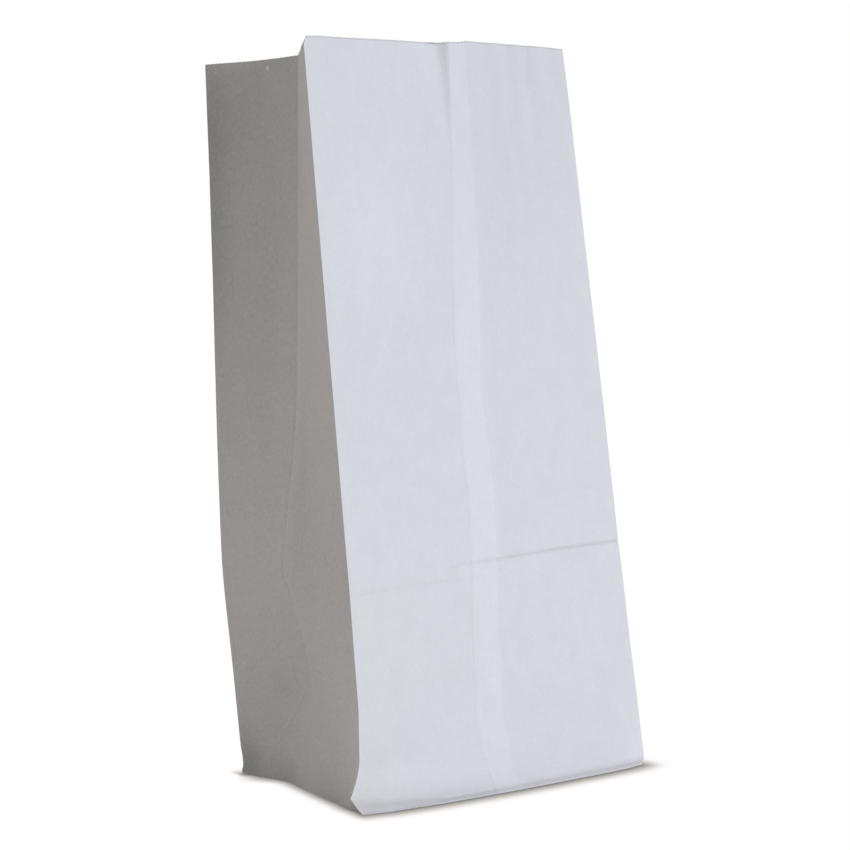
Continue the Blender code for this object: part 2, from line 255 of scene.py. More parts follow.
TABLE_COLOUR = (0.232, 0.222, 0.215)      # of the disc that throws light up on the bag
WORLD_COLOUR, WORLD_STRENGTH = (1.0, 0.938, 0.868), 0.255
# Lights only the disc under the bag.
OVER = ("over", (0.0, 0.0, 3.0), (0.0, 0.0, 0.0), 5.0, 262.0, (1.0, 0.985, 0.965))
LIGHTS = (
    ("key", (5.55, -8.85, 1.94), (0.0, 0.0, 0.17), 4.35, 797.0, (0.833, 0.904, 1.0)),
    ("rim", (-1.1, 2.5, 1.9), (0.0, 0.0, 0.25), 1.6, 20.0, (1.0, 0.94, 0.90)),
)

# Camera: lens, sensor in mm; turns in degrees; place in metres; clipping.
LENS, SENSOR = 81.95, 36.0
YAW, PITCH, ROLL = 33.47, 2.59, 1.29
ACROSS, EYE_HEIGHT, DISTANCE = -0.0056, 0.2072, 0.920
CLIP_START, CLIP_END = 0.05, 50.0

# Grid steps.
ROW_STEP = HALF / 24
TURN_ROWS, LOW_ROWS, LOW_TOP = 5, 6, 7
WAIST_ROW = 43                            # last even row below the creases
CREASE_OFFSETS = (-1.6, -0.6, 0.0, 0.6, 1.6)
TUBE_START = 111.0                        # even rows start again here
TUBE_STEP = 2.2
FRONT_COLUMNS = (30, 10, 8, 7, 34)        # plain, dent's two flanks, seam, plain
RIGHT_COLUMNS, BACK_COLUMNS = 36, 56
LEFT_STOPS = (LEFT_START, LEFT_START + HALF - FOLD_BAND, LEFT_START + HALF,
              LEFT_START + HALF + FOLD_BAND, GIRTH)
LEFT_COLUMNS = (22, 3, 3, 22)             # plain, the fold's two sides, plain
FACE_INSIDE = 0.1                         # mm from a face's first corner to its inside


def clamp(t):
    return np.clip(t, 0.0, 1.0)


def mix(a, b, t):
    return a + (b - a) * t


def smooth(t):
    t = clamp(t)
    return t * t * (3.0 - 2.0 * t)


def seam_borders(v):
    return np.interp(v, SEAM_LEVELS, SEAM_LEFT), np.interp(v, SEAM_LEVELS, SEAM_RIGHT)


def dent_sizes(ratio):
    """Depth, left run, right run, and the paper in each run."""
    depth, left = DENT_DEPTH * ratio ** DENT_DEPTH_CURVE, DENT_LEFT_RUN * ratio
    right = DENT_RIGHT_RUN * ratio ** DENT_RIGHT_CURVE
    return depth, left, right, np.hypot(left, depth), np.hypot(right, depth)


def dent_ratio(v):
    return clamp(1.0 - (HEIGHT - v) / DENT_LENGTH)


def front_profile(u, v):
    """Place along the front panel, depth into the bag, and the width that the dent takes."""
    depth, left, right, left_paper, right_paper = dent_sizes(dent_ratio(v))
    right_end = seam_borders(v)[0]
    valley = right_end - right_paper
    left_end = valley - left_paper
    share_left = (u - left_end) / np.maximum(left_paper, TINY)
    share_right = clamp((u - valley) / np.maximum(right_paper, TINY))
    take = left_paper - left + right_paper - right
    on_left = (u > left_end) & (u <= valley)
    on_right = (u > valley) & (u <= right_end)
    place = np.where(on_left, left_end + share_left * left, u)
    place = np.where(on_right, left_end + left + share_right * right, place)
    place = np.where(u > right_end, u - take, place)
    left_flank = clamp(share_left) ** DENT_CURVE
    right_flank = np.where(on_right, 1.0 - smooth(share_right ** DENT_ROUND), 0.0)
    inward = depth * np.where(on_left, left_flank, right_flank)
    return place, inward, take


def crease_level(u, line):
    return np.interp(u, [point[0] for point in line], [point[1] for point in line])


def station_level(u, v):
    """The level at which the tube's stations are read, so that it bends along the crease."""
    shift = WAIST - crease_level(u, UPPER_CREASE)
    return v + shift * clamp(1.0 - np.abs(v - WAIST) / CREASE_FADE)


def tuck_at(v):
    return sum(np.interp(v + d, TUCK_LEVELS, TUCKS) for d in TUCK_BLUR) / len(TUCK_BLUR)


def fold_share(v):
    """Where the left gusset's middle fold lies, as a share from the front fold."""
    return 0.5 - np.interp(v, FOLD_LEVELS, FOLD_SHIFTS) / DEPTH


def gusset(start, end, share, fold, v, sign):
    """Plan of a gusset from fold to fold, tucked in at its middle fold.

    Points off the gusset get a value too, which the caller drops.
    """
    dx, dy = end[0] - start[0], end[1] - start[1]
    gap = np.hypot(dx, dy)
    tuck = np.sqrt(np.maximum((DEPTH / 2) ** 2 - (gap / 2) ** 2, 0.0))
    tuck = np.where(v < HALF, BASE_TUCK, tuck)
    half = np.maximum(np.minimum(share / fold, (1.0 - share) / (1.0 - fold)), 0.0)
    hollow = GUSSET_HOLLOW * 4.0 * half * (1.0 - half) * smooth((v - HOLLOW_LEVEL) / HOLLOW_RUN)
    hollow = np.where(share > fold, hollow, 0.0)
    low = np.maximum(v, SMALL) / HALF
    rounded = half * low / (half ** SOFT + low ** SOFT) ** (1.0 / SOFT)
    push = sign * (tuck * mix(rounded, half, smooth(low - 1.0)) + hollow)
    return start[0] + share * dx + push * dy / gap, start[1] + share * dy - push * dx / gap


def panels(u):
    """Where u lies on the front, the right gusset, the back and the left gusset."""
    return (u <= WIDTH, (u > WIDTH) & (u < BACK_START),
            (u >= BACK_START) & (u <= LEFT_START), u > LEFT_START)


def tube_plan(u, v):
    """Plan of the tube before its base and rim are shaped: x, y and the dent's depth."""
    here = station_level(u, v)
    fold_x, fold_y = np.interp(here, STATIONS, FOLD_X), np.interp(here, STATIONS, FOLD_Y)
    turn = np.radians(np.interp(here, STATIONS, TURN))
    slant = np.radians(np.interp(here, STATIONS, SLANT))
    tuck = tuck_at(here)
    gap = 2.0 * np.sqrt((DEPTH / 2) ** 2 - tuck ** 2)
    gap = np.where(v < HALF, mix(DEPTH, gap, clamp(v / HALF)), gap)
    along_x, along_y = np.cos(turn), np.sin(turn)
    place, inward, take = front_profile(u, v)
    back_x, back_y = fold_x - gap * np.sin(slant), fold_y + gap * np.cos(slant)
    front_left, back_left = (fold_x, fold_y), (back_x, back_y)
    chord = WIDTH - take
    front_right = (fold_x + chord * along_x, fold_y + chord * along_y)
    back_right = (back_x + WIDTH * along_x, back_y + WIDTH * along_y)
    _, on_right, on_back, on_left = panels(u)
    x = fold_x + place * along_x - inward * along_y
    y = fold_y + place * along_y + inward * along_x
    x = np.where(on_back, back_x + (LEFT_START - u) * along_x, x)
    y = np.where(on_back, back_y + (LEFT_START - u) * along_y, y)
    right_share, left_share = (u - WIDTH) / DEPTH, (u - LEFT_START) / DEPTH
    gusset_x, gusset_y = gusset(front_right, back_right, right_share, 0.5, v, -1.0)
    x, y = np.where(on_right, gusset_x, x), np.where(on_right, gusset_y, y)
    gusset_x, gusset_y = gusset(front_left, back_left, 1.0 - left_share, fold_share(v), v, 1.0)
    return np.where(on_left, gusset_x, x), np.where(on_left, gusset_y, y), inward


def bow_base(u, v, x, y):
    """The base edge's bows, gussets in and panels out, and the front's belly."""
    on_front, on_right, on_back, on_left = panels(u)
    fade = clamp(1.0 - v / HALF)
    x = x + fade * np.where(on_left, np.interp((u - LEFT_START) / DEPTH, *LEFT_BOW), 0.0)
    x = x - fade * np.where(on_right, np.interp((u - WIDTH) / DEPTH, *RIGHT_BOW), 0.0)
    fade = clamp(1.0 - v / FRONT_FADE) ** FADE_CURVE
    y = y - fade * np.where(on_front, np.interp(u / WIDTH, *FRONT_BOW), 0.0)
    y = y + fade * np.where(on_back, np.interp((LEFT_START - u) / WIDTH, *BACK_BOW), 0.0)
    across = smooth(1.0 - np.abs(u - BELLY_PLACE) / BELLY_REACH)
    up = smooth(np.minimum(v / BELLY_LEVEL, (BELLY_TOP - v) / (BELLY_TOP - BELLY_LEVEL)))
    return x, y - np.where(on_front, BELLY * across * up, 0.0)


def turn_under(u, v, x, y):
    """The base edge turned under, the crushed corner and the small foot: x, y and z."""
    crush = corner_share(u)
    under, rise, turn_level = base_turn(u)
    t = clamp(v / turn_level)
    plain = np.minimum(1.0 - t, UNDER_FACE) / UNDER_FACE
    turned = under * mix(plain, (1.0 - t) ** CORNER_ROUND, smooth(crush * CORNER_SPREAD))
    x = x * (1.0 - turned * mix(1.0, CORNER_X, crush) / (WIDTH / 2))
    y = y * (1.0 - turned * mix(1.0, CORNER_Y, crush) / (DEPTH / 2))
    z = np.where(v < turn_level, rise * t, v - turn_level + rise)
    flare = clamp((FLARE_HEIGHT - v) / (FLARE_HEIGHT - turn_level)) ** FLARE_CURVE
    x = x - CORNER_FLARE * crush ** FLARE_NARROW * np.minimum(flare, v / turn_level)
    raised = np.where(u <= WIDTH, FRONT_LIFT * smooth((u - LIFT_START) / LIFT_RUN),
                      SIDE_LIFT * smooth((u - LEFT_START - PLY_STEP) / PLY_RUN))
    z = z + raised * clamp(1.0 - v / LIFT_TOP)
    foot = clamp(1.0 - np.abs(u - LEFT_START) / FOOT_REACH)
    foot = foot * clamp(1.0 - v / FOOT_HEIGHT) ** FOOT_CURVE
    return x - FOOT * foot, y, z + FOOT_LIFT * foot


def shape_rim(u, v, x, z, inward):
    """The bent tip, the tilt, the sag at the dent and the rises of the cut edge: x and z."""
    on_front, _, _, on_left = panels(u)
    tip = np.where(on_front, clamp(1.0 - u / TIP_FRONT),
                   np.where(on_left, clamp(1.0 - (GIRTH - u) / TIP_SIDE), 0.0))
    x = x + TIP * tip * clamp(1.0 - (HEIGHT - v) / TIP_HEIGHT)
    z = z + TILT * x * clamp(v / TILT_HEIGHT)
    z = z - np.where(on_front, DENT_DROP * dent_ratio(v) * inward / DENT_DEPTH, 0.0)
    return x, z + np.interp(u, *RIM_RISES) * smooth(1.0 - (HEIGHT - v) / RIM_REACH)


def folded(u, v):
    """The folded sheet's points in mm, for arrays u and v of one shape."""
    x, y, inward = tube_plan(u, v)
    x, y = bow_base(u, v, x, y)
    x, y, z = turn_under(u, v, x, y)
    x, z = shape_rim(u, v, x, z, inward)
    return np.stack([x, y, z], -1)


def corner_share(u):
    """1 at the crushed front-left corner, falling to 0 along the front and the side."""
    return np.where(u <= WIDTH, clamp(1.0 - u / CORNER_REACH),
                    np.where(u > LEFT_START, clamp(1.0 - (GIRTH - u) / SIDE_REACH), 0.0))


def base_turn(u):
    """How far the base edge turns under, over what height, and below what level."""
    crush = corner_share(u)
    side = smooth((u - LEFT_START) / SIDE_START)
    edge_under = np.where(u <= WIDTH, FRONT_UNDER, mix(BACK_UNDER, SIDE_UNDER, side))
    edge_rise = np.where(u <= WIDTH, FRONT_RISE, BACK_RISE)
    under, rise = mix(edge_under, CORNER_UNDER, crush), mix(edge_rise, CORNER_RISE, crush)
    return under, rise, np.hypot(under, rise)


def sheet_grid():
    """u and v of every grid point, rows by columns; the last column meets the first again."""
    even = np.arange(LOW_TOP, WAIST_ROW + 1) * ROW_STEP
    tube_rows = int(round((HEIGHT - TUBE_START) / TUBE_STEP))
    tube = np.linspace(TUBE_START, HEIGHT - RIM_BAND, tube_rows + 1)
    crease_row = TURN_ROWS + LOW_ROWS - 1 + len(even)
    creased = np.full(2 * len(CREASE_OFFSETS), WAIST)
    v_nominal = np.concatenate([np.zeros(TURN_ROWS + LOW_ROWS - 1), even, creased, tube])
    rows = len(v_nominal)
    left, right = seam_borders(v_nominal)
    ratio = np.maximum(dent_ratio(v_nominal), FADE)
    paper_left, paper_right = dent_sizes(ratio)[3:]
    borders = [np.zeros(rows), left - paper_right - paper_left, left - paper_right, left,
               right, np.full(rows, WIDTH)]
    columns = []
    for low, high_border, count in zip(borders, borders[1:], FRONT_COLUMNS):
        columns += [mix(low, high_border, i / count) for i in range(count)]
    for start, length, count in ((WIDTH, DEPTH, RIGHT_COLUMNS), (BACK_START, WIDTH, BACK_COLUMNS)):
        columns += [np.full(rows, start + length * i / count) for i in range(count)]
    for start, end, count in zip(LEFT_STOPS, LEFT_STOPS[1:], LEFT_COLUMNS):
        columns += [np.full(rows, mix(start, end, i / count)) for i in range(count)]
    u = np.stack(columns, -1)
    left_gusset = u > LEFT_START
    spread = np.minimum((u - LEFT_START) / (DEPTH / 2), (GIRTH - u) / (DEPTH / 2))
    shift = np.interp(v_nominal, FOLD_LEVELS, FOLD_SHIFTS)[:, None]
    u = u + np.where(left_gusset, shift * spread, 0.0)
    turn_level = base_turn(u)[2]
    v = np.repeat(v_nominal[:, None], u.shape[1], 1)
    for i in range(TURN_ROWS):
        v[i] = turn_level[i] * i / (TURN_ROWS - 1)
    for i in range(1, LOW_ROWS):
        v[TURN_ROWS - 1 + i] = mix(turn_level[0], LOW_TOP * ROW_STEP, i / LOW_ROWS)
    for line in (LOWER_CREASE, UPPER_CREASE):
        for offset in CREASE_OFFSETS:
            v[crease_row] = crease_level(u[crease_row], line) + offset
            crease_row += 1
    return u, v


def grid_normals(points):
    """Outward unit normals of a grid that closes on itself across its columns."""
    across = np.roll(points, -1, 1) - np.roll(points, 1, 1)
    upward = np.gradient(points, axis=0)
    normals = np.cross(across, upward)
    return normals / np.linalg.norm(normals, axis=-1, keepdims=True)


def noise_field(points, scale, seed, octaves=3):
    """Smooth noise at the points, -1 to 1, with a scale in mm along each axis."""
    flat = points.reshape(-1, 3) / np.array(scale) + seed
    values = [noise.fractal(Vector(p), 1.0, 2.0, octaves) for p in flat]
    return np.array(values).reshape(points.shape[:-1])


def relief(u, v, points):
    """Height of the paper's own unevenness along its normal, in mm."""
    height = sum(size * noise_field(points, scale, seed) for size, scale, seed in UNEVENNESS)
    left, right = seam_borders(v)
    inside = np.minimum(u - left, right - u)
    height += STRIP_STEP * smooth(inside / STRIP_EDGE + 0.5)
    beside = smooth(1.0 - np.abs(u - right - VALLEY_PLACE) / VALLEY_REACH)
    height -= VALLEY * beside * smooth((v - VALLEY_LEVEL) / VALLEY_RUN)
    for place, width, depth, low in WRINKLES:
        near = smooth(1.0 - np.abs(u - place) / width)
        height -= depth * near * smooth((v - low) / (HEIGHT - low))
    apart = np.hypot((u - LEFT_START - DIMPLE_PLACE) / DIMPLE_REACH,
                     (v - DIMPLE_LEVEL) / DIMPLE_REACH)
    height -= np.where(u > LEFT_START - DIMPLE_PLACE, DIMPLE * smooth(1.0 - apart), 0.0)
    for line, depth in ((LOWER_CREASE, LOWER_DEPTH), (UPPER_CREASE, UPPER_DEPTH)):
        across = clamp(1.0 - np.abs(v - crease_level(u, line)) / CREASE_REACH)
        height -= across * np.interp(u, *depth)
    return height


def rim_points(u_row):
    """u and level of the cut edge's points in each gap between two columns, tooth by tooth."""
    teeth = round(GIRTH / TOOTH_PITCH)
    half_pitch = GIRTH / teeth / 2
    gaps = []
    for start, end in zip(u_row, [*u_row[1:], GIRTH]):
        first = int(np.floor(start / half_pitch)) + 1
        corners = [start] + [k * half_pitch for k in range(first, 2 * teeth)
                             if start + TOOTH_MARGIN < k * half_pitch < end - TOOTH_MARGIN]
        phase = np.array(corners) / half_pitch % 2.0
        level = HEIGHT - TOOTH_HEIGHT * np.abs(1.0 - phase)
        gaps.append((np.array(corners), level))
    return gaps


def lip(u, v):
    """Outward turn of the cut edge over the dent."""
    across = smooth(1.0 - np.abs(u - LIP_PLACE) / LIP_REACH)
    return LIP * across * clamp((v - HEIGHT + 2 * RIM_BAND) / (2 * RIM_BAND)) ** 2


def toothed(start, end):
    """Points of a cut edge from start to end in plan, with its teeth, without the end point."""
    start, end = Vector(start), Vector(end)
    run = end - start
    count = 2 * round(run.length / TOOTH_PITCH)
    side = Vector((run.y, -run.x)).normalized() * TOOTH_HEIGHT
    return [start + run * (k / count) - side * (k % 2) for k in range(count)]


def flaps(ring, ring_u):
    """The base flaps in plan: outline and the height of the face that shows.

    The gussets' ends fold in first and lie on top inside; the two long flaps, with corners
    at 45 degrees, close over them from below and lap in the middle.
    """
    on_left, on_right = ring_u > LEFT_START, (ring_u > WIDTH) & (ring_u < BACK_START)
    left, right = ring[ring_u == LEFT_START][0], ring[ring_u == WIDTH][0]
    front, back = right[1] + FLAP_INSET, left[1] - FLAP_INSET
    left, right = left[0] + FLAP_INSET, right[0] - FLAP_INSET
    front_left = ring[0][0] + FLAP_INSET
    sides = []
    for which, inset in ((on_left, FLAP_INSET), (on_right, -FLAP_INSET)):
        edge = ring[which][np.argsort(ring[which][:, 1])]
        sides.append([(np.interp(y, edge[:, 1], edge[:, 0]) + inset, y)
                      for y in np.linspace(front, back, FLAP_STEPS)])
    left_side, right_side = sides
    middle = (front + back) / 2
    run = (back - front) / 2 + FLAP_LAP
    over, under = FLOOR_LIFT + 2 * PAPER + FLAP_GAP, FLOOR_LIFT - PAPER - 2 * FLAP_GAP
    near, far = middle + FLAP_LAP, middle - FLAP_LAP
    short_left = [(x + FLAP_INSET, y) for x, y in left_side if y < near]
    short_right = [(x - FLAP_INSET, y) for x, y in right_side if y < near]
    return (
        ([*toothed((left + run, front), (left + run, back)), (left + run, back),
          *left_side[::-1]], over),
        ([*toothed((right - run, back), (right - run, front)), (right - run, front),
          *right_side], over),
        ([*short_right, *toothed((short_right[-1][0], near), (short_left[-1][0], near)),
          (short_left[-1][0], near), *short_left[::-1]], over - PAPER - FLAP_GAP / 2),
        ([(left, back), (right, back), *toothed((right - run, far), (left + run, far)),
          (left + run, far)], under),
        ([(right, front), (front_left, front), *toothed((left + run, near), (right - run, near)),
          (right - run, near)], 0.0),
    )


def bag_points():
    """Sheet coordinates and points in mm, fitted to the solid's box, of the tube and its rim.

    The last item counts the rim's points in each gap between two columns.
    """
    u, v = sheet_grid()
    gaps = rim_points(u[-1])
    rim_u = np.concatenate([gap[0] for gap in gaps])
    rim_v = np.concatenate([gap[1] for gap in gaps])
    tube, rim = folded(u, v), folded(rim_u, rim_v)
    edge = folded(u[-1], np.full(u.shape[1], HEIGHT))
    every = np.concatenate([tube.reshape(-1, 3), edge])
    low, high = (np.array(corner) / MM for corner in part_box("bag"))
    scale = (high - low) / (every.max(0) - every.min(0))
    shift = low - every.min(0) * scale
    tube, rim = tube * scale + shift, rim * scale + shift
    normals = grid_normals(tube)
    tube += normals * (relief(u, v, tube) + lip(u, v))[..., None]
    tube[..., 2] = np.maximum(tube[..., 2], low[2])
    count = [len(gap[0]) for gap in gaps]
    column = np.repeat(np.arange(len(gaps)), count)
    height = relief(u[-1], v[-1], tube[-1])[column] + lip(rim_u, rim_v)
    rim += normals[-1][column] * height[:, None]
    return (u, v, tube), (rim_u, rim_v, rim), count


def sheet_mesh(name):
    """The whole bag as one mesh of single sheets: tube, toothed rim, floor and flaps."""
    (u, v, tube), (rim_u, rim_v, rim), count = bag_points()
    bm = bmesh.new()
    uv_layer = bm.loops.layers.uv.new("sheet")

    def face(corners, smooth_shaded=True):
        """A face from (vertex, u, v) corners."""
        made = bm.faces.new([corner[0] for corner in corners])
        made.smooth = smooth_shaded
        for loop, corner in zip(made.loops, corners):
            loop[uv_layer].uv = (corner[1] * UV_SCALE, corner[2] * UV_SCALE)

    rows, columns = u.shape
    grid = [[bm.verts.new(point * MM) for point in row] for row in tube]
    for r in range(rows - 1):
        for c in range(columns):
            d = (c + 1) % columns
            wrap = GIRTH if d == 0 else 0.0
            face([(grid[i][j], u[i, j] + (wrap if j == d else 0.0), v[i, j])
                  for i, j in ((r, c), (r, d), (r + 1, d), (r + 1, c))])
    rim_verts = [bm.verts.new(point * MM) for point in rim]
    starts = np.concatenate([[0], np.cumsum(count)])
    for c in range(columns):
        d = (c + 1) % columns
        wrap = GIRTH if d == 0 else 0.0
        top = [(rim_verts[k], rim_u[k], rim_v[k]) for k in range(starts[c], starts[c + 1])]
        top.append((rim_verts[starts[d]], rim_u[starts[d]] + wrap, rim_v[starts[d]]))
        face([(grid[-1][c], u[-1, c], v[-1, c]), (grid[-1][d], u[-1, d] + wrap, v[-1, d])]
             + top[::-1])
    inner = []
    for point in tube[0]:
        x, y = point[:2] * (1.0 - FLAP_INSET / 2 / (DEPTH / 2))
        inner.append((bm.verts.new(Vector((x, y, FLOOR_LIFT)) * MM), x + FLOOR_U, y + FLOOR_U))
    for c in range(columns):
        d = (c + 1) % columns
        ring = [(grid[0][j], tube[0, j, 0] + FLOOR_U, tube[0, j, 1] + FLOOR_U) for j in (d, c)]
        face([ring[0], ring[1], inner[c], inner[d]], False)
    face(inner[::-1], False)
    for outline, height in flaps(tube[0], u[0]):
        face([(bm.verts.new(Vector((x, y, height)) * MM), x + FLOOR_U, y + FLOOR_U)
              for x, y in outline], False)
    mesh = bpy.data.meshes.new(name)
    bm.to_mesh(mesh)
    bm.free()
    mesh.set_sharp_from_angle(angle=np.radians(FOLD_ANGLE))
    bag = bpy.data.objects.new(name, mesh)
    bpy.context.scene.collection.objects.link(bag)
    return bag


# ------------------------------------------------------------------ paper
class Nodes:
    """Short ways to add and join the nodes of one tree."""

    def __init__(self, tree):
        self.tree = tree

    def add(self, kind, *inputs, **settings):
        node = self.tree.nodes.new(kind)
        for name, value in settings.items():
            setattr(node, name, value)
        for socket, value in zip(node.inputs, inputs):
            self.set(socket, value)
        return node

    def set(self, socket, value):
        if isinstance(value, bpy.types.NodeSocket):
            self.tree.links.new(value, socket)
        elif value is not None:
            socket.default_value = value

    def math(self, operation, *inputs):
        return self.add("ShaderNodeMath", *inputs, operation=operation).outputs[0]

    def vector(self, operation, *inputs, output=0):
        return self.add("ShaderNodeVectorMath", *inputs, operation=operation).outputs[output]

    def scaled(self, vector, factor):
        node = self.add("ShaderNodeVectorMath", vector, operation="SCALE")
        self.set(node.inputs["Scale"], factor)
        return node.outputs[0]

    def noise(self, coords, scale, detail, rough):
        """Noise from 0 to 1 with a scale in mm along u and v."""
        place = self.vector("MULTIPLY", coords, (1.0 / scale[0], 1.0 / scale[1], 1.0))
        node = self.add("ShaderNodeTexNoise")
        self.set(node.inputs["Vector"], place)
        for name, value in (("Scale", 1.0), ("Detail", detail), ("Roughness", rough)):
            self.set(node.inputs[name], value)
        return node.outputs[0]

    def ramp(self, value, low, high):
        """0 below low, 1 above high, smooth between."""
        node = self.add("ShaderNodeMapRange", interpolation_type="SMOOTHSTEP")
        for name, given in (("Value", value), ("From Min", low), ("From Max", high)):
            self.set(node.inputs[name], given)
        return node.outputs[0]


def mark_group():
    """Node group: a mark along one straight line of the sheet, sharp in its middle."""
    if "fold_mark" in bpy.data.node_groups:
        return bpy.data.node_groups["fold_mark"]
    group = bpy.data.node_groups.new("fold_mark", "ShaderNodeTree")
    face = group.interface
    for name, kind in (("Sheet", "NodeSocketVector"), ("Start", "NodeSocketVector"),
                       ("End", "NodeSocketVector"), ("Width", "NodeSocketFloat"),
                       ("Start Strength", "NodeSocketFloat"), ("End Strength", "NodeSocketFloat")):
        face.new_socket(name, in_out="INPUT", socket_type=kind)
    face.new_socket("Mark", in_out="OUTPUT", socket_type="NodeSocketFloat")
    n = Nodes(group)
    given = n.add("NodeGroupInput").outputs
    away = n.vector("SUBTRACT", given["Sheet"], given["Start"])
    line = n.vector("SUBTRACT", given["End"], given["Start"])
    share = n.math("DIVIDE", n.vector("DOT_PRODUCT", away, line, output=1),
                   n.vector("DOT_PRODUCT", line, line, output=1))
    share = n.math("MINIMUM", n.math("MAXIMUM", share, 0.0), 1.0)
    distance = n.vector("DISTANCE", away, n.scaled(line, share), output=1)
    near = n.math("SUBTRACT", 1.0, n.math("DIVIDE", distance, given["Width"]))
    near = n.math("MAXIMUM", near, 0.0)
    gain = n.math("SUBTRACT", given["End Strength"], given["Start Strength"])
    strength = n.math("MULTIPLY_ADD", share, gain, given["Start Strength"])
    mark = n.math("MULTIPLY", n.math("POWER", near, MARK_CURVE), strength)
    n.set(n.add("NodeGroupOutput").inputs["Mark"], mark)
    return group


def add_marks(n, sheet, group, marks):
    """Sums of the heights, in mm, and of the tones of all marks."""
    total, tones = 0.0, 0.0
    for height, tone, width, line in marks:
        strongest = None
        for (u0, v0, s0), (u1, v1, s1) in zip(line, line[1:]):
            node = n.add("ShaderNodeGroup", node_tree=group)
            for name, value in (("Sheet", sheet), ("Start", (u0, v0, 0.0)),
                                ("End", (u1, v1, 0.0)), ("Width", width),
                                ("Start Strength", s0), ("End Strength", s1)):
                n.set(node.inputs[name], value)
            mark = node.outputs["Mark"]
            strongest = mark if strongest is None else n.math("MAXIMUM", strongest, mark)
        total = n.math("MULTIPLY_ADD", strongest, height, total)
        tones = n.math("MULTIPLY_ADD", strongest, tone, tones)
    return total, tones


def paper_material(name, marks, origin, grain_tone):
    """White kraft paper: fibre streaks, cloudy tone, fold marks, the lighter double strip, and
    painted shade and light from the marks and the "crease" attribute.
    """
    material = bpy.data.materials.new(name)
    material.use_nodes = True
    n = Nodes(material.node_tree)
    shader = material.node_tree.nodes["Principled BSDF"]
    uv = n.add("ShaderNodeUVMap", uv_map="sheet").outputs[0]
    sheet = n.vector("MULTIPLY", uv, (1.0 / UV_SCALE, 1.0 / UV_SCALE, 0.0))
    double = n.add("ShaderNodeAttribute", attribute_name="double").outputs["Fac"]
    strip = n.ramp(double, -STRIP_BLUR, STRIP_BLUR)
    crease = n.add("ShaderNodeAttribute", attribute_name="crease").outputs["Fac"]

    cloud, streak, fibre, grain, mottle = (
        n.noise(sheet, *settings) for settings in (CLOUD, STREAK, FIBRE, GRAIN, MOTTLE))

    height = n.math("MULTIPLY", streak, STREAK_HEIGHT)
    for texture, size in ((fibre, FIBRE_HEIGHT), (grain, GRAIN_HEIGHT), (cloud, CLOUD_HEIGHT),
                          (strip, STRIP_HEIGHT)):
        height = n.math("MULTIPLY_ADD", texture, size, height)
    mark_tone = 0.0
    if marks:
        place = n.vector("SUBTRACT", sheet, (origin, 0.0, 0.0))
        mark_height, mark_tone = add_marks(n, place, mark_group(), marks)
        height = n.math("ADD", height, mark_height)
    bump = n.add("ShaderNodeBump")
    n.set(bump.inputs["Strength"], 1.0)
    n.set(bump.inputs["Distance"], MM)
    n.set(bump.inputs["Height"], height)
    n.set(shader.inputs["Normal"], bump.outputs[0])

    tone = n.math("MULTIPLY_ADD", cloud, CLOUD_TONE, PLAIN_TONE - grain_tone / 2)
    tone = n.math("MULTIPLY_ADD", streak, STREAK_TONE, tone)
    # Painted shade and painted light: the "crease" attribute and the marks' tones.
    tone = n.math("ADD", n.math("ADD", tone, crease), mark_tone)
    for texture, size in ((fibre, FIBRE_TONE), (mottle, grain_tone), (strip, STRIP_GAIN)):
        tone = n.math("MULTIPLY_ADD", texture, size, tone)
    fleck = n.add("ShaderNodeTexVoronoi", feature="F1")
    n.set(fleck.inputs["Vector"], sheet)
    n.set(fleck.inputs["Scale"], FLECK_SCALE)
    outside = n.ramp(fleck.outputs["Distance"], FLECK_INNER, FLECK_OUTER)
    tone = n.math("MULTIPLY_ADD", n.math("SUBTRACT", 1.0, outside), FLECK_TONE, tone)
    n.set(shader.inputs["Base Color"], n.scaled(PAPER_COLOUR, tone))
    n.set(shader.inputs["Roughness"], n.math("MULTIPLY_ADD", cloud, CLOUD_ROUGHNESS, ROUGHNESS))
    shader.inputs["Specular IOR Level"].default_value = SPECULAR
    return material


def painted_shade_light_and_stain_tone(u, v):
    """What is added to the paper's tone: painted shade in the creases, folds and dent, along the
    base and under the lip, and soft patches of painted shade, painted light and a few stains.
    """
    tone = np.zeros_like(u)
    for line, dark in ((LOWER_CREASE, LOWER_DARK), (UPPER_CREASE, UPPER_DARK)):
        near = clamp(1.0 - np.abs(v - crease_level(u, line)) / CREASE_REACH)
        tone -= near ** CREASE_CURVE * np.interp(u, *dark)
    ratio = dent_ratio(v)
    run = dent_sizes(ratio)[4]
    across = (seam_borders(v)[0] - u) / np.maximum(run, SMALL)
    tone -= ratio ** 2 * np.interp(across, *DENT_PAINTED_SHADE)
    on_front = u <= WIDTH
    base = smooth((BASE_BAND - v) / BASE_FADE)
    tone -= np.where(on_front, np.interp(u, *BASE_DARK) * base, 0.0)
    tone -= np.where(on_front, np.interp(u, *LOW_DARK) * smooth(1.0 - v / LOW_BAND), 0.0)
    fold = LEFT_START + DEPTH * (1.0 - fold_share(v))
    near = clamp(1.0 - np.abs(u - fold) / FOLD_BAND)
    tone -= np.where(v > HALF, near ** FOLD_CURVE * np.interp(v, *FOLD_DARK), 0.0)
    tone -= LIP_PAINTED_SHADE * clamp(1.0 - np.abs(u - LIP_PLACE) / LIP_REACH) * (v > HEIGHT - LIP_BAND)
    for place, level, reach, height, dark in SHADE_LIGHT_AND_GRIME_PATCHES:
        away = np.hypot((u - place) / reach, (v - level) / height)
        tone -= dark * smooth(1.0 - away)
    return tone


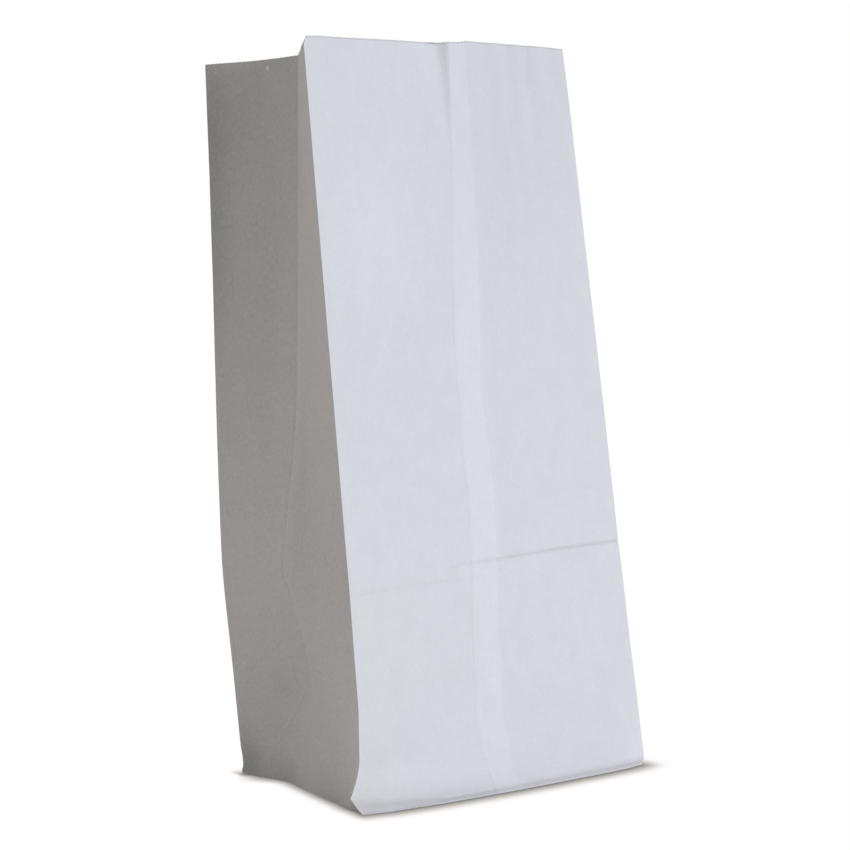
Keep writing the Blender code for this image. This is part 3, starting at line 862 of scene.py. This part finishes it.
def paint_sheet(bag):
    """Corner attributes and material of each face.

    "double" is the distance inside the double strip's borders in mm, "crease" the added tone,
    mostly painted shade and painted light.
    Material 0 is the front's, 1 the left gusset's and 2 that of all else.
    """
    mesh = bag.data
    layer = mesh.uv_layers["sheet"].data
    place = np.zeros(len(layer) * 2)
    layer.foreach_get("uv", place)
    u, v = place.reshape(-1, 2).T / UV_SCALE
    left, right = seam_borders(v)
    for name, values in (("double", np.minimum(u - left, right - u)),
                         ("crease", painted_shade_light_and_stain_tone(u, v))):
        attribute = mesh.attributes.new(name, "FLOAT", "CORNER")
        attribute.data.foreach_set("value", values)
    starts = [polygon.loop_start for polygon in mesh.polygons]
    middle = u[starts] + FACE_INSIDE
    slots = np.where(middle < WIDTH, 0, np.where((middle > LEFT_START) & (middle < GIRTH), 1, 2))
    mesh.polygons.foreach_set("material_index", slots.astype(np.int32))


# ------------------------------------------------------------------ the studio
def look_along(yaw, pitch, roll):
    """Rotation of a camera that looks along +Y turned by yaw, down by pitch, and rolled."""
    y, p, r = np.radians((yaw, pitch, roll))
    forward = Vector((np.sin(y) * np.cos(p), np.cos(y) * np.cos(p), -np.sin(p)))
    level = Vector((np.cos(y), -np.sin(y), 0.0))
    upright = Vector((np.sin(y) * np.sin(p), np.cos(y) * np.sin(p), np.cos(p)))
    right = np.cos(r) * level - np.sin(r) * upright
    up = np.sin(r) * level + np.cos(r) * upright
    return Matrix((right, up, -forward)).transposed().to_quaternion()


def add_camera():
    data = bpy.data.cameras.new("camera")
    data.lens, data.sensor_width = LENS, SENSOR
    data.clip_start, data.clip_end = CLIP_START, CLIP_END
    camera = bpy.data.objects.new("camera", data)
    yaw = np.radians(YAW)
    camera.location = (np.cos(yaw) * ACROSS - np.sin(yaw) * DISTANCE,
                       -np.sin(yaw) * ACROSS - np.cos(yaw) * DISTANCE, EYE_HEIGHT)
    camera.rotation_mode = "QUATERNION"
    camera.rotation_quaternion = look_along(YAW, PITCH, ROLL)
    bpy.context.scene.collection.objects.link(camera)
    bpy.context.scene.camera = camera


def add_area_light(name, place, target, size, power, colour):
    data = bpy.data.lights.new(name, "AREA")
    data.shape, data.size = "DISK", size
    data.energy, data.color = power, colour
    light = bpy.data.objects.new(name, data)
    light.location = place
    light.visible_camera = light.visible_glossy = False
    light.rotation_euler = (Vector(place) - Vector(target)).to_track_quat("Z", "Y").to_euler()
    bpy.context.scene.collection.objects.link(light)
    return light


def add_world():
    world = bpy.data.worlds.new("studio")
    world.use_nodes = True
    background = world.node_tree.nodes["Background"]
    background.inputs["Color"].default_value = (*WORLD_COLOUR, 1.0)
    background.inputs["Strength"].default_value = WORLD_STRENGTH
    bpy.context.scene.world = world


def add_stage(name, bm, material):
    """A mesh that belongs to the studio and not to the bag."""
    mesh = bpy.data.meshes.new(name)
    bm.to_mesh(mesh)
    bm.free()
    mesh.materials.append(material)
    stage = bpy.data.objects.new(name, mesh)
    bpy.context.scene.collection.objects.link(stage)
    return stage


def plain_material(name, colour, glow=0.0):
    """A stage material of one colour that may glow white."""
    material = bpy.data.materials.new(name)
    material.use_nodes = True
    shader = material.node_tree.nodes["Principled BSDF"]
    shader.inputs["Base Color"].default_value = (*colour, 1.0)
    shader.inputs["Roughness"].default_value = STAGE_ROUGHNESS
    shader.inputs["Specular IOR Level"].default_value = STAGE_SPECULAR
    shader.inputs["Emission Color"].default_value = (1.0, 1.0, 1.0, 1.0)
    shader.inputs["Emission Strength"].default_value = glow
    material.cycles.emission_sampling = "NONE"
    return material


def linear(tone):
    """A display tone from 0 to 255 as linear light."""
    return ((tone / 255 + 0.055) / 1.055) ** 2.4


def painted_shadow_material():
    """The table's painted contact shadow, by its distance from the bag's foot; it glows and no lamp
    lights it.
    """
    material = plain_material("table_painted_shadow", (0.0, 0.0, 0.0), 1.0)
    n = Nodes(material.node_tree)
    away = n.add("ShaderNodeAttribute", attribute_name="away").outputs["Fac"]
    furthest = CONTACT_SHADE[-1][0]
    ramp = n.add("ShaderNodeValToRGB", n.math("DIVIDE", away, furthest))
    elements = ramp.color_ramp.elements
    while len(elements) < len(CONTACT_SHADE):
        elements.new(1.0)
    for element, (place, look) in zip(elements, CONTACT_SHADE):
        element.position = place / furthest
        element.color = (*(linear(tone) for tone in look), 1.0)
    n.set(material.node_tree.nodes["Principled BSDF"].inputs["Emission Color"], ramp.outputs[0])
    return material


def foot_distance(grid, foot):
    """Distance in mm of the grid's points from the foot's outline, under 0 inside it.

    To the left it is stretched by SIDE_NARROW, which narrows the shade there.
    """
    line = np.roll(foot, -1, 0) - foot
    offset = grid[:, :, None] - foot
    share = clamp((offset * line).sum(-1) / (line ** 2).sum(-1))
    apart = offset - share[..., None] * line
    nearest = np.linalg.norm(apart, axis=-1).argmin(-1)
    apart = np.take_along_axis(apart, nearest[..., None, None], 2)[:, :, 0]
    away = np.linalg.norm(apart, axis=-1)
    leftward = clamp(-apart[..., 0] / np.maximum(away, TINY))
    away = away * (1.0 + leftward ** 2 * np.interp(grid[..., 1], *SIDE_NARROW))
    crossed = (offset[..., 1] >= 0.0) != (offset[..., 1] >= line[:, 1])
    run = offset[..., 1] / np.where(line[:, 1] == 0.0, 1.0, line[:, 1]) * line[:, 0]
    inside = (crossed & (offset[..., 0] < run)).sum(-1) % 2 == 1
    return np.where(inside, -away, away)


def painted_shadow_patch():
    """A grid on the table under the bag for the painted contact shadow; each point knows its
    distance from the foot.
    """
    around = np.linspace(0.0, GIRTH, FOOT_POINTS, endpoint=False)
    foot = folded(around, np.zeros(FOOT_POINTS))[:, :2]
    margin = CONTACT_SHADE[-1][0] + CONTACT_STEP
    low, high = foot.min(0) - margin, foot.max(0) + margin
    counts = np.ceil((high - low) / CONTACT_STEP).astype(int)
    grid = np.stack(np.meshgrid(*(np.linspace(low[i], high[i], counts[i]) for i in (0, 1))), -1)
    bm = bmesh.new()
    layer = bm.verts.layers.float.new("away")
    rows = []
    for grid_row, away_row in zip(grid * MM, foot_distance(grid, foot)):
        rows.append([bm.verts.new((x, y, -TABLE_GAP / 2)) for x, y in grid_row])
        for vert, value in zip(rows[-1], away_row):
            vert[layer] = value
    for below, above in zip(rows, rows[1:]):
        for i in range(len(below) - 1):
            bm.faces.new((below[i], below[i + 1], above[i + 1], above[i]))
    return bm


def disc(radius, level):
    """A flat round mesh at one height, in metres."""
    bm = bmesh.new()
    bmesh.ops.create_circle(bm, cap_ends=True, segments=DISC_SIDES, radius=radius,
                            matrix=Matrix.Translation((0.0, 0.0, level)))
    return bm


def add_studio():
    """Table and surround that show plain white, the drawn contact shade, and the table's light.

    The camera sees the first three, which light nothing. It doesn't see "table_lit", which
    throws light up on the bag and has a lamp of its own.
    """
    shown = add_stage("table_shown", disc(TABLE_RADIUS, -TABLE_GAP),
                      plain_material("table_white", (0.0, 0.0, 0.0), 1.0))
    contact = add_stage("table_painted_shadow", painted_shadow_patch(), painted_shadow_material())
    lit = add_stage("table_lit", disc(BOUNCE_RADIUS, -2.0 * TABLE_GAP),
                    plain_material("table_pale", TABLE_COLOUR))
    bm = bmesh.new()
    bmesh.ops.create_icosphere(bm, subdivisions=DOME_STEPS, radius=SURROUND_RADIUS)
    dome = add_stage("surround", bm, plain_material("surround_white", (0.0, 0.0, 0.0), 1.0))
    for stage in (shown, contact, dome):
        stage.visible_diffuse = stage.visible_glossy = stage.visible_transmission = False
        stage.visible_shadow = False
    lit.visible_camera = lit.visible_shadow = False
    tables = bpy.data.collections.new("tables")
    tables.objects.link(lit)
    add_area_light(*OVER).light_linking.receiver_collection = tables


bag = sheet_mesh("paper_bag")
paint_sheet(bag)
for look in (("white_paper", FRONT_MARKS, 0.0, FRONT_GRAIN),
             ("white_paper_side", SIDE_MARKS, LEFT_START, SIDE_GRAIN),
             ("white_paper_plain", (), 0.0, PLAIN_GRAIN)):
    bag.data.materials.append(paper_material(*look))
wall = bag.modifiers.new("Paper", "SOLIDIFY")
wall.thickness, wall.offset = PAPER * MM, -1.0
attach(bag, "root")
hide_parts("bag")

add_studio()
add_world()
for light in LIGHTS:
    add_area_light(*light)
add_camera()
bpy.context.scene.view_settings.view_transform = "Standard"
